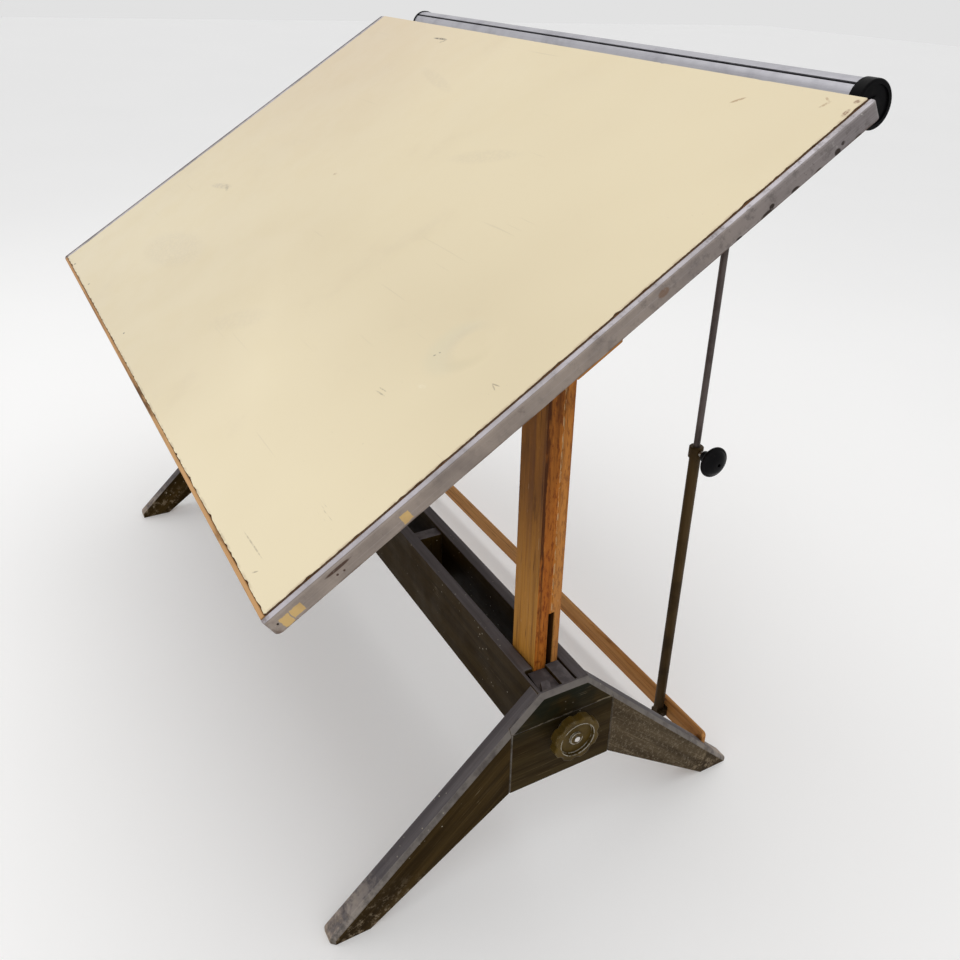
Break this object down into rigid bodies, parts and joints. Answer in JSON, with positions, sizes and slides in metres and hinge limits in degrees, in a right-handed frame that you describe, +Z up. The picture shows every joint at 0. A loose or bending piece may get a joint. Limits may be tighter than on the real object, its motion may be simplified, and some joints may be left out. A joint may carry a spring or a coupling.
{
  "type": "drafting table",
  "caption": "Drafting table with a tilting board on sliding posts, splayed wooden trestles, a trough between them, telescopic rear stays and a roll tube.",
  "frame": {"origin": "on the floor, midway between the two trestles, under the posts' centre plane", "axes": "+X along the board's width, +Y towards the board's high rear edge, +Z up"},
  "size_m": [1.524, 0.8837, 1.1928],
  "materials": {
    "base_wood": "dark olive-brown paint over wood, worn edges",
    "post_wood": "orange-brown oiled oak",
    "bar_wood": "red-brown stained wood",
    "board_wood": "bare softwood and blockboard",
    "surface_laminate": "satin ivory laminate",
    "strip_metal": "grey drawn steel strip, spotted with rust",
    "tube_aluminium": "drawn aluminium, satin",
    "cap_plastic": "gloss black",
    "hardware_steel": "plain steel",
    "stay_steel": "dark bronze finish",
    "rod_steel": "bare steel, dulled",
    "wheel_metal": "aged bronze colour",
    "knob_plastic": "black moulded plastic"
  },
  "bodies": {
    "base": {"front_leg_right": "base_wood", "front_leg_left": "base_wood", "rear_leg_right": "base_wood", "rear_leg_left": "base_wood", "end_panel_lower_right": "base_wood", "end_panel_lower_left": "base_wood", "end_panel_upper_right": "base_wood", "end_panel_upper_left": "base_wood", "front_beam": "base_wood", "rear_beam": "base_wood", "trough_spacers": "base_wood", "inner_post_guides": "base_wood", "front_post_guide_right": "base_wood", "front_post_guide_left": "base_wood", "rear_post_guide_right": "base_wood", "rear_post_guide_left": "base_wood", "rear_bar": "bar_wood", "stay_foot_pins": "stay_steel", "clamp_washers": "hardware_steel", "stay_foot_bracket_right": "stay_steel", "stay_foot_bracket_left": "stay_steel", "clamp_bolt_right": "hardware_steel", "clamp_bolt_left": "hardware_steel"},
    "posts": {"post_front_right": "post_wood", "post_front_left": "post_wood", "post_rear_right": "post_wood", "post_rear_left": "post_wood", "tilt_bolt_right": "hardware_steel", "tilt_bolt_left": "hardware_steel", "tilt_nuts": "hardware_steel"},
    "board": {"board_core": "board_wood", "drawing_surface": "surface_laminate", "front_edging": "board_wood", "roll_tube": "tube_aluminium", "roll_tube_hangers": "hardware_steel", "batten_screws": "hardware_steel", "edge_strip_right": "strip_metal", "edge_strip_left": "strip_metal", "board_batten_right": "post_wood", "board_batten_left": "post_wood", "roll_tube_cap_right": "cap_plastic", "roll_tube_cap_left": "cap_plastic", "stay_top_bracket_right": "stay_steel", "stay_top_bracket_left": "stay_steel"},
    "hand_wheel_right": {"hand_wheel_right": "wheel_metal"},
    "stay_tube_right": {"stay_tube_right": "stay_steel", "stay_collar_right": "stay_steel"},
    "stay_sleeve_right": {"stay_sleeve_right": "stay_steel"},
    "stay_rod_right": {"stay_rod_right": "rod_steel", "stay_top_pin_right": "stay_steel"},
    "stay_knob_right": {"stay_knob_right": "knob_plastic", "stay_screw_right": "hardware_steel"},
    "hand_wheel_left": {"hand_wheel_left": "wheel_metal"},
    "stay_tube_left": {"stay_tube_left": "stay_steel", "stay_collar_left": "stay_steel"},
    "stay_sleeve_left": {"stay_sleeve_left": "stay_steel"},
    "stay_rod_left": {"stay_rod_left": "rod_steel", "stay_top_pin_left": "stay_steel"},
    "stay_knob_left": {"stay_knob_left": "knob_plastic", "stay_screw_left": "hardware_steel"}
  },
  "joints": [
    {"name": "height_slide", "type": "slide", "parent": "base", "child": "posts", "axis": [0, 0, 1], "range_m": [-0.1, 0.1]},
    {"name": "board_tilt", "type": "hinge", "parent": "posts", "child": "board", "pos_m": [0, 0, 0.887], "axis": [1, 0, 0], "range_deg": [-32.3, 17.7]},
    {"name": "hand_wheel_right_turn", "type": "hinge", "parent": "base", "child": "hand_wheel_right", "pos_m": [0.715, 0.005, 0.262], "axis": [1, 0, 0], "range_deg": [-720, 0]},
    {"name": "stay_right_swing", "type": "hinge", "parent": "base", "child": "stay_tube_right", "pos_m": [0.576, 0.313, 0.05], "axis": [1, 0, 0], "range_deg": [-6.2, 3.6]},
    {"name": "stay_right_lift", "type": "slide", "parent": "stay_tube_right", "child": "stay_sleeve_right", "axis": [0, 0, 1], "range_m": [-0.1, 0.1]},
    {"name": "stay_right_extend", "type": "slide", "parent": "stay_sleeve_right", "child": "stay_rod_right", "axis": [0, 0, 1], "range_m": [-0.2, 0.11]},
    {"name": "stay_knob_right_turn", "type": "hinge", "parent": "stay_tube_right", "child": "stay_knob_right", "pos_m": [0.62, 0.313, 0.617], "axis": [1, 0, 0], "range_deg": [-360, 0]},
    {"name": "hand_wheel_left_turn", "type": "hinge", "parent": "base", "child": "hand_wheel_left", "pos_m": [-0.715, 0.005, 0.262], "axis": [-1, 0, 0], "range_deg": [-720, 0]},
    {"name": "stay_left_swing", "type": "hinge", "parent": "base", "child": "stay_tube_left", "pos_m": [-0.576, 0.313, 0.05], "axis": [1, 0, 0], "range_deg": [-6.2, 3.6]},
    {"name": "stay_left_lift", "type": "slide", "parent": "stay_tube_left", "child": "stay_sleeve_left", "axis": [0, 0, 1], "range_m": [-0.1, 0.1]},
    {"name": "stay_left_extend", "type": "slide", "parent": "stay_sleeve_left", "child": "stay_rod_left", "axis": [0, 0, 1], "range_m": [-0.2, 0.11]},
    {"name": "stay_knob_left_turn", "type": "hinge", "parent": "stay_tube_left", "child": "stay_knob_left", "pos_m": [-0.62, 0.313, 0.617], "axis": [-1, 0, 0], "range_deg": [-360, 0]}
  ],
  "couplings": [
    {"joint": "stay_right_swing", "follows": "board_tilt", "ratio": 0.17855},
    {"joint": "stay_right_lift", "follows": "height_slide", "ratio": 1},
    {"joint": "stay_right_extend", "follows": "board_tilt", "m_per_rad": 0.3443},
    {"joint": "stay_left_swing", "follows": "board_tilt", "ratio": 0.17855},
    {"joint": "stay_left_lift", "follows": "height_slide", "ratio": 1},
    {"joint": "stay_left_extend", "follows": "board_tilt", "m_per_rad": 0.3443}
  ]
}
